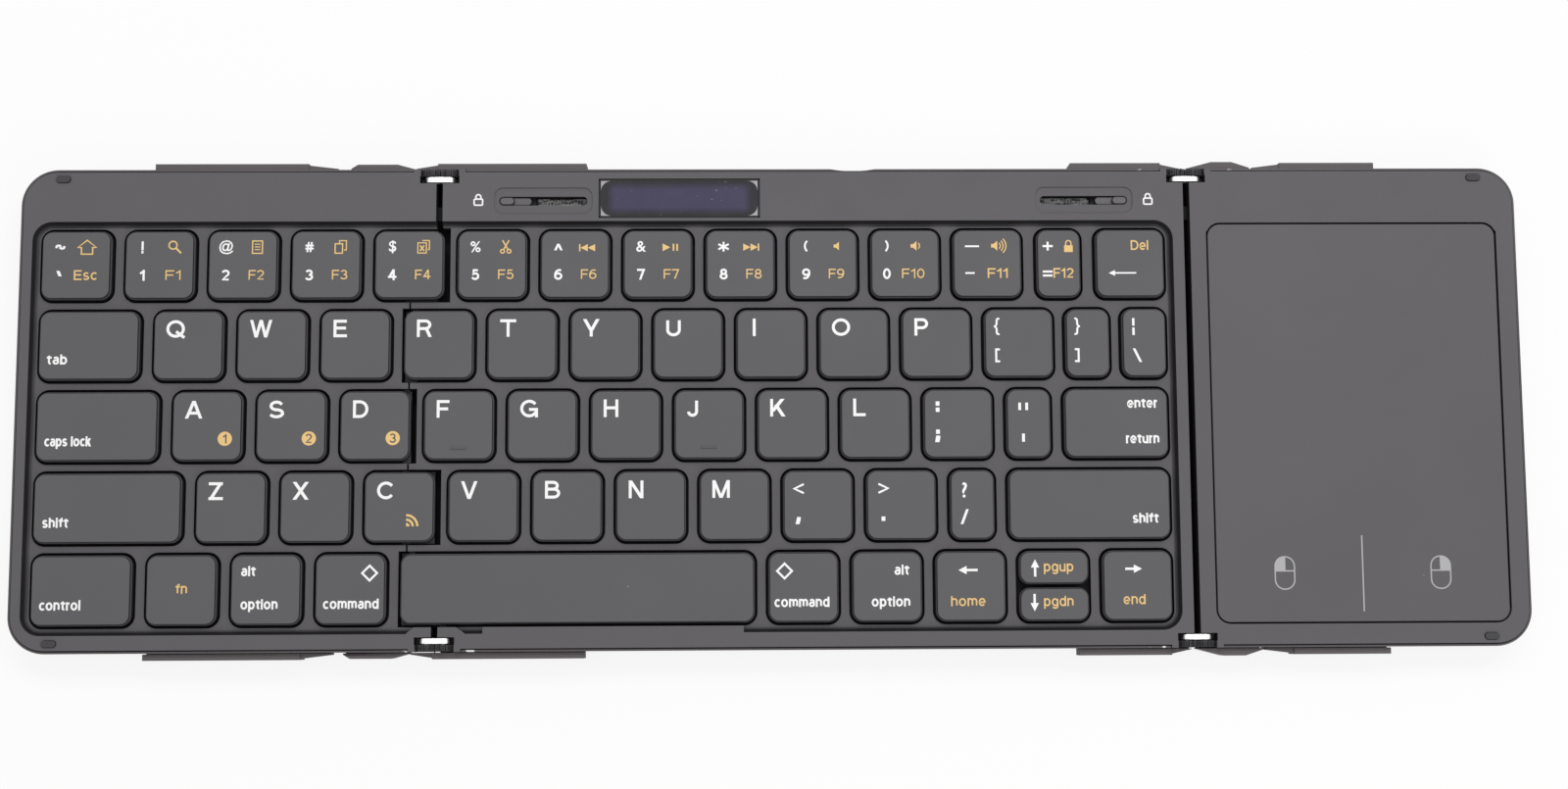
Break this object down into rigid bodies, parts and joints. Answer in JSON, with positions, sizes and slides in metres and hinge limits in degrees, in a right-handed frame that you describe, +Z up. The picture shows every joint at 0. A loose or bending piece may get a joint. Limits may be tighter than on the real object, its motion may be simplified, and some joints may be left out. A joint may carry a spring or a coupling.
{
  "type": "folding keyboard",
  "caption": "Tri-fold keyboard with geared side hinges, sprung keys, a clicking touchpad, a small display, two sliding fold locks and a charging port.",
  "frame": {"origin": "middle of the open keyboard's bounding box, at the underside of its rubber feet", "axes": "+X along the rows of keys towards the touchpad, +Y towards the back edge with the charging port, +Z up out of the keys"},
  "size_m": [0.3088, 0.1024, 0.0082],
  "materials": {
    "cover": "dark anodised, fine matte",
    "frame": "dark grey, fine texture",
    "key": "dark grey, fine texture, printed legends",
    "touch": "smooth matte",
    "plate": "bare sheet steel",
    "dome": "silicone",
    "hinge": "polished",
    "gear": "sintered steel",
    "slider": "dark grey",
    "display": "smoked window over a status panel",
    "board": "green fibreglass",
    "battery": "foil pouch",
    "pad": "dark",
    "screw": "plated",
    "flex": "black film"
  },
  "bodies": {
    "centre_panel": {"centre_bottom_cover": "cover", "centre_top_frame": "frame", "centre_switch_plate": "plate", "centre_key_switches": "dome", "circuit_board": "board", "display": "display", "centre_hinge_arms": "gear", "centre_rubber_pads": "pad", "case_screws": "screw", "flex_cables": "flex"},
    "left_panel": {"left_bottom_cover": "cover", "left_top_frame": "frame", "left_switch_plate": "plate", "left_key_switches": "dome", "left_hinge_arms": "gear", "left_rubber_pads": "pad"},
    "right_panel": {"right_bottom_cover": "cover", "right_top_frame": "frame", "battery": "battery", "right_hinge_arms": "gear", "right_rubber_pads": "pad"},
    "left_link": {"left_hinge_links": "hinge"},
    "right_link": {"right_hinge_links": "hinge"},
    "touchpad": {"touchpad": "touch"},
    "power_switch": {"power_switch": "slider"},
    "left_lock": {"left_lock_slider": "slider"},
    "right_lock": {"right_lock_slider": "slider"},
    "left_number_keys": {"left_number_keys": "key"},
    "left_modifier_keys": {"left_modifier_keys": "key"},
    "right_number_keys": {"right_number_keys": "key"},
    "punctuation_keys": {"punctuation_keys": "key"},
    "right_modifier_keys": {"right_modifier_keys": "key"},
    "arrow_keys": {"arrow_keys": "key"},
    "space_bar": {"space_bar": "key"},
    "key_q": {"key_q": "key"},
    "key_w": {"key_w": "key"},
    "key_e": {"key_e": "key"},
    "key_r": {"key_r": "key"},
    "key_t": {"key_t": "key"},
    "key_y": {"key_y": "key"},
    "key_u": {"key_u": "key"},
    "key_i": {"key_i": "key"},
    "key_o": {"key_o": "key"},
    "key_p": {"key_p": "key"},
    "key_a": {"key_a": "key"},
    "key_s": {"key_s": "key"},
    "key_d": {"key_d": "key"},
    "key_f": {"key_f": "key"},
    "key_g": {"key_g": "key"},
    "key_h": {"key_h": "key"},
    "key_j": {"key_j": "key"},
    "key_k": {"key_k": "key"},
    "key_l": {"key_l": "key"},
    "key_z": {"key_z": "key"},
    "key_x": {"key_x": "key"},
    "key_c": {"key_c": "key"},
    "key_v": {"key_v": "key"},
    "key_b": {"key_b": "key"},
    "key_n": {"key_n": "key"},
    "key_m": {"key_m": "key"}
  },
  "joints": [
    {"name": "left_link_turn", "type": "hinge", "parent": "centre_panel", "child": "left_link", "pos_m": [-0.06703, 0, 0.00625], "axis": [0, 1, 0], "range_deg": [0, 90], "deforming": ["flex_cables"]},
    {"name": "left_fold", "type": "hinge", "parent": "left_link", "child": "left_panel", "pos_m": [-0.07053, 0, 0.00625], "axis": [0, 1, 0], "range_deg": [0, 90], "deforming": ["flex_cables"]},
    {"name": "right_link_turn", "type": "hinge", "parent": "centre_panel", "child": "right_link", "pos_m": [0.08403, 0, 0.00625], "axis": [0, -1, 0], "range_deg": [0, 90], "deforming": ["flex_cables"]},
    {"name": "right_fold", "type": "hinge", "parent": "right_link", "child": "right_panel", "pos_m": [0.08753, 0, 0.00625], "axis": [0, -1, 0], "range_deg": [0, 90], "deforming": ["flex_cables"]},
    {"name": "touchpad_click", "type": "hinge", "parent": "right_panel", "child": "touchpad", "pos_m": [0.11995, 0.03778, 0.00603], "axis": [1, 0, 0], "range_deg": [0, 0.35], "stiffness_Nm_per_rad": 20},
    {"name": "power_switch_slide", "type": "slide", "parent": "centre_panel", "child": "power_switch", "axis": [1, 0, 0], "range_m": [0, 0.0025]},
    {"name": "left_lock_slide", "type": "slide", "parent": "centre_panel", "child": "left_lock", "axis": [1, 0, 0], "range_m": [0, 0.009]},
    {"name": "right_lock_slide", "type": "slide", "parent": "centre_panel", "child": "right_lock", "axis": [-1, 0, 0], "range_m": [0, 0.009]},
    {"name": "left_number_keys_press", "type": "slide", "parent": "left_panel", "child": "left_number_keys", "axis": [0, 0, -1], "range_m": [0, 0.0012], "stiffness_N_per_m": 150, "deforming": ["left_key_switches"]},
    {"name": "left_modifier_keys_press", "type": "slide", "parent": "left_panel", "child": "left_modifier_keys", "axis": [0, 0, -1], "range_m": [0, 0.0012], "stiffness_N_per_m": 150, "deforming": ["left_key_switches"]},
    {"name": "right_number_keys_press", "type": "slide", "parent": "centre_panel", "child": "right_number_keys", "axis": [0, 0, -1], "range_m": [0, 0.0012], "stiffness_N_per_m": 150, "deforming": ["centre_key_switches"]},
    {"name": "punctuation_keys_press", "type": "slide", "parent": "centre_panel", "child": "punctuation_keys", "axis": [0, 0, -1], "range_m": [0, 0.0012], "stiffness_N_per_m": 150, "deforming": ["centre_key_switches"]},
    {"name": "right_modifier_keys_press", "type": "slide", "parent": "centre_panel", "child": "right_modifier_keys", "axis": [0, 0, -1], "range_m": [0, 0.0012], "stiffness_N_per_m": 150, "deforming": ["centre_key_switches"]},
    {"name": "arrow_keys_press", "type": "slide", "parent": "centre_panel", "child": "arrow_keys", "axis": [0, 0, -1], "range_m": [0, 0.0012], "stiffness_N_per_m": 150, "deforming": ["centre_key_switches"]},
    {"name": "space_bar_press", "type": "slide", "parent": "centre_panel", "child": "space_bar", "axis": [0, 0, -1], "range_m": [0, 0.0012], "stiffness_N_per_m": 150, "deforming": ["centre_key_switches"]},
    {"name": "key_q_press", "type": "slide", "parent": "left_panel", "child": "key_q", "axis": [0, 0, -1], "range_m": [0, 0.0012], "stiffness_N_per_m": 150, "deforming": ["left_key_switches"]},
    {"name": "key_w_press", "type": "slide", "parent": "left_panel", "child": "key_w", "axis": [0, 0, -1], "range_m": [0, 0.0012], "stiffness_N_per_m": 150, "deforming": ["left_key_switches"]},
    {"name": "key_e_press", "type": "slide", "parent": "left_panel", "child": "key_e", "axis": [0, 0, -1], "range_m": [0, 0.0012], "stiffness_N_per_m": 150, "deforming": ["left_key_switches"]},
    {"name": "key_r_press", "type": "slide", "parent": "centre_panel", "child": "key_r", "axis": [0, 0, -1], "range_m": [0, 0.0012], "stiffness_N_per_m": 150, "deforming": ["centre_key_switches"]},
    {"name": "key_t_press", "type": "slide", "parent": "centre_panel", "child": "key_t", "axis": [0, 0, -1], "range_m": [0, 0.0012], "stiffness_N_per_m": 150, "deforming": ["centre_key_switches"]},
    {"name": "key_y_press", "type": "slide", "parent": "centre_panel", "child": "key_y", "axis": [0, 0, -1], "range_m": [0, 0.0012], "stiffness_N_per_m": 150, "deforming": ["centre_key_switches"]},
    {"name": "key_u_press", "type": "slide", "parent": "centre_panel", "child": "key_u", "axis": [0, 0, -1], "range_m": [0, 0.0012], "stiffness_N_per_m": 150, "deforming": ["centre_key_switches"]},
    {"name": "key_i_press", "type": "slide", "parent": "centre_panel", "child": "key_i", "axis": [0, 0, -1], "range_m": [0, 0.0012], "stiffness_N_per_m": 150, "deforming": ["centre_key_switches"]},
    {"name": "key_o_press", "type": "slide", "parent": "centre_panel", "child": "key_o", "axis": [0, 0, -1], "range_m": [0, 0.0012], "stiffness_N_per_m": 150, "deforming": ["centre_key_switches"]},
    {"name": "key_p_press", "type": "slide", "parent": "centre_panel", "child": "key_p", "axis": [0, 0, -1], "range_m": [0, 0.0012], "stiffness_N_per_m": 150, "deforming": ["centre_key_switches"]},
    {"name": "key_a_press", "type": "slide", "parent": "left_panel", "child": "key_a", "axis": [0, 0, -1], "range_m": [0, 0.0012], "stiffness_N_per_m": 150, "deforming": ["left_key_switches"]},
    {"name": "key_s_press", "type": "slide", "parent": "left_panel", "child": "key_s", "axis": [0, 0, -1], "range_m": [0, 0.0012], "stiffness_N_per_m": 150, "deforming": ["left_key_switches"]},
    {"name": "key_d_press", "type": "slide", "parent": "left_panel", "child": "key_d", "axis": [0, 0, -1], "range_m": [0, 0.0012], "stiffness_N_per_m": 150, "deforming": ["left_key_switches"]},
    {"name": "key_f_press", "type": "slide", "parent": "centre_panel", "child": "key_f", "axis": [0, 0, -1], "range_m": [0, 0.0012], "stiffness_N_per_m": 150, "deforming": ["centre_key_switches"]},
    {"name": "key_g_press", "type": "slide", "parent": "centre_panel", "child": "key_g", "axis": [0, 0, -1], "range_m": [0, 0.0012], "stiffness_N_per_m": 150, "deforming": ["centre_key_switches"]},
    {"name": "key_h_press", "type": "slide", "parent": "centre_panel", "child": "key_h", "axis": [0, 0, -1], "range_m": [0, 0.0012], "stiffness_N_per_m": 150, "deforming": ["centre_key_switches"]},
    {"name": "key_j_press", "type": "slide", "parent": "centre_panel", "child": "key_j", "axis": [0, 0, -1], "range_m": [0, 0.0012], "stiffness_N_per_m": 150, "deforming": ["centre_key_switches"]},
    {"name": "key_k_press", "type": "slide", "parent": "centre_panel", "child": "key_k", "axis": [0, 0, -1], "range_m": [0, 0.0012], "stiffness_N_per_m": 150, "deforming": ["centre_key_switches"]},
    {"name": "key_l_press", "type": "slide", "parent": "centre_panel", "child": "key_l", "axis": [0, 0, -1], "range_m": [0, 0.0012], "stiffness_N_per_m": 150, "deforming": ["centre_key_switches"]},
    {"name": "key_z_press", "type": "slide", "parent": "left_panel", "child": "key_z", "axis": [0, 0, -1], "range_m": [0, 0.0012], "stiffness_N_per_m": 150, "deforming": ["left_key_switches"]},
    {"name": "key_x_press", "type": "slide", "parent": "left_panel", "child": "key_x", "axis": [0, 0, -1], "range_m": [0, 0.0012], "stiffness_N_per_m": 150, "deforming": ["left_key_switches"]},
    {"name": "key_c_press", "type": "slide", "parent": "left_panel", "child": "key_c", "axis": [0, 0, -1], "range_m": [0, 0.0012], "stiffness_N_per_m": 150, "deforming": ["left_key_switches"]},
    {"name": "key_v_press", "type": "slide", "parent": "centre_panel", "child": "key_v", "axis": [0, 0, -1], "range_m": [0, 0.0012], "stiffness_N_per_m": 150, "deforming": ["centre_key_switches"]},
    {"name": "key_b_press", "type": "slide", "parent": "centre_panel", "child": "key_b", "axis": [0, 0, -1], "range_m": [0, 0.0012], "stiffness_N_per_m": 150, "deforming": ["centre_key_switches"]},
    {"name": "key_n_press", "type": "slide", "parent": "centre_panel", "child": "key_n", "axis": [0, 0, -1], "range_m": [0, 0.0012], "stiffness_N_per_m": 150, "deforming": ["centre_key_switches"]},
    {"name": "key_m_press", "type": "slide", "parent": "centre_panel", "child": "key_m", "axis": [0, 0, -1], "range_m": [0, 0.0012], "stiffness_N_per_m": 150, "deforming": ["centre_key_switches"]}
  ],
  "couplings": [
    {"joint": "left_link_turn", "follows": "left_fold", "ratio": 1},
    {"joint": "right_link_turn", "follows": "right_fold", "ratio": 1}
  ]
}
